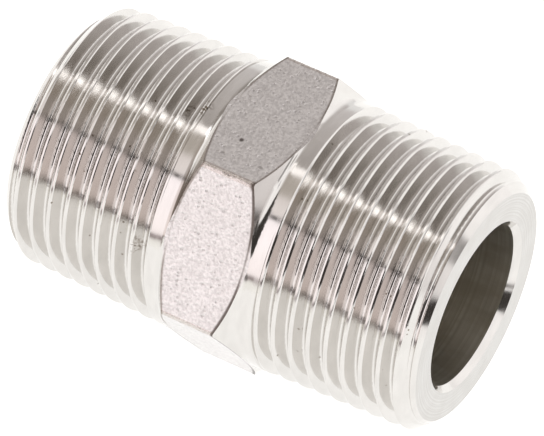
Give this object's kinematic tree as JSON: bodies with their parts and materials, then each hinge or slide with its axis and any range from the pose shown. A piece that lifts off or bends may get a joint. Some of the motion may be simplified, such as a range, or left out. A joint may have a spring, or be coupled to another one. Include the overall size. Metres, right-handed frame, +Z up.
{
  "type": "hex nipple",
  "caption": "Straight pipe connector in one piece: a hexagon between two turned collars, a tapered external pipe thread on each end and a bore right through.",
  "frame": {"origin": "middle of the bore axis, midway between the two end faces, at the centre of the hexagon", "axes": "+X along the bore axis towards one threaded end, +Z up through the middle of the top flat of the hexagon"},
  "size_m": [0.0442, 0.0308, 0.027],
  "materials": {
    "stainless_steel": "bright turned threads, collars and ends; fine matte cast and blasted hexagon flats"
  },
  "bodies": {
    "root": {"nipple_body": "stainless_steel"}
  },
  "joints": []
}
